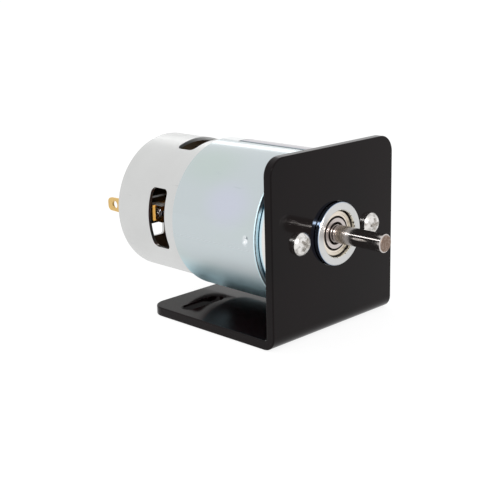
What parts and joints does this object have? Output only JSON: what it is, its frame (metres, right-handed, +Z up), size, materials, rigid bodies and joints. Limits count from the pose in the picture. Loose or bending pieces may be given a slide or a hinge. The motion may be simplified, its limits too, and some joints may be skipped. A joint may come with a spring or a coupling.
{
  "type": "demonstration electric motor",
  "caption": "Brushed direct-current demonstration motor in a plated steel can, screwed to a bent black angle bracket with base slots; round output shaft and solder-eye terminals.",
  "frame": {"origin": "on the underside of the bracket base, midway between its two mounting slots", "axes": "+Z up from the base, -Y along the output shaft towards its free end, +X across the bracket to the right as the shaft is faced"},
  "size_m": [0.05, 0.096, 0.0517],
  "materials": {
    "bracket_coat": "gloss black coating",
    "screw_plate": "bright zinc plate",
    "can_plate": "satin zinc plate",
    "ring_plate": "satin zinc plate, slightly blue",
    "ferrite": "sintered dark grey",
    "spring_steel": "blued spring steel",
    "bearing_steel": "ground, light oil film",
    "bearing_steel_inner": "ground, light oil film",
    "bearing_shield": "pressed, satin",
    "cage_steel": "pressed, satin",
    "ball_steel": "polished",
    "shaft_steel": "ground and polished",
    "spacer_brass": "turned",
    "core_steel": "stacked laminations, varnished",
    "fibre": "pressed fibre",
    "enamelled_wire": "enamelled copper wire",
    "commutator_resin": "moulded resin",
    "commutator_copper": "worn copper",
    "washer_steel": "bright",
    "card_plastic": "moulded black",
    "bronze": "sintered bronze",
    "holder_brass": "folded brass",
    "terminal_brass": "bright brass",
    "carbon": "carbon"
  },
  "bodies": {
    "housing": {"bracket": "bracket_coat", "bracket_screws": "screw_plate", "motor_can": "can_plate", "flux_ring": "ring_plate", "magnet_left": "ferrite", "magnet_right": "ferrite", "magnet_clip_top": "spring_steel", "magnet_clip_bottom": "spring_steel", "bearing_outer_ring": "bearing_steel", "bearing_shield_front": "bearing_shield", "bearing_shield_rear": "bearing_shield", "brush_card": "card_plastic", "end_bell": "can_plate", "rear_bush": "bronze", "brush_holder_left": "holder_brass", "terminal_left": "terminal_brass", "brush_spring_left": "spring_steel", "brush_holder_right": "holder_brass", "terminal_right": "terminal_brass", "brush_spring_right": "spring_steel"},
    "rotor": {"shaft": "shaft_steel", "bearing_inner_ring": "bearing_steel_inner", "spacer_sleeve": "spacer_brass", "armature_core": "core_steel", "armature_insulator_front": "fibre", "armature_insulator_rear": "fibre", "commutator_hub": "commutator_resin", "rear_spacer": "spacer_brass", "thrust_washers": "washer_steel", "armature_coil_1": "enamelled_wire", "armature_coil_2": "enamelled_wire", "armature_coil_3": "enamelled_wire", "armature_coil_4": "enamelled_wire", "armature_coil_5": "enamelled_wire", "commutator_segment_1": "commutator_copper", "commutator_segment_2": "commutator_copper", "commutator_segment_3": "commutator_copper", "commutator_segment_4": "commutator_copper", "commutator_segment_5": "commutator_copper"},
    "ball_set": {"bearing_cage": "cage_steel", "bearing_balls": "ball_steel"},
    "left_brush": {"brush_left": "carbon"},
    "right_brush": {"brush_right": "carbon"}
  },
  "joints": [
    {"name": "rotor_spin", "type": "hinge", "parent": "housing", "child": "rotor", "pos_m": [0, -0.0396, 0.0277], "axis": [0, -1, 0], "continuous": true},
    {"name": "ball_set_orbit", "type": "hinge", "parent": "housing", "child": "ball_set", "pos_m": [0, -0.0379, 0.0277], "axis": [0, -1, 0], "continuous": true},
    {"name": "left_brush_slide", "type": "slide", "parent": "housing", "child": "left_brush", "axis": [-1, 0, 0], "range_m": [0, 0.0015], "stiffness_N_per_m": 8, "springref_m": -0.03, "deforming": ["brush_spring_left"]},
    {"name": "right_brush_slide", "type": "slide", "parent": "housing", "child": "right_brush", "axis": [1, 0, 0], "range_m": [0, 0.0015], "stiffness_N_per_m": 8, "springref_m": -0.03, "deforming": ["brush_spring_right"]}
  ],
  "couplings": [
    {"joint": "ball_set_orbit", "follows": "rotor_spin", "ratio": 0.4021}
  ]
}
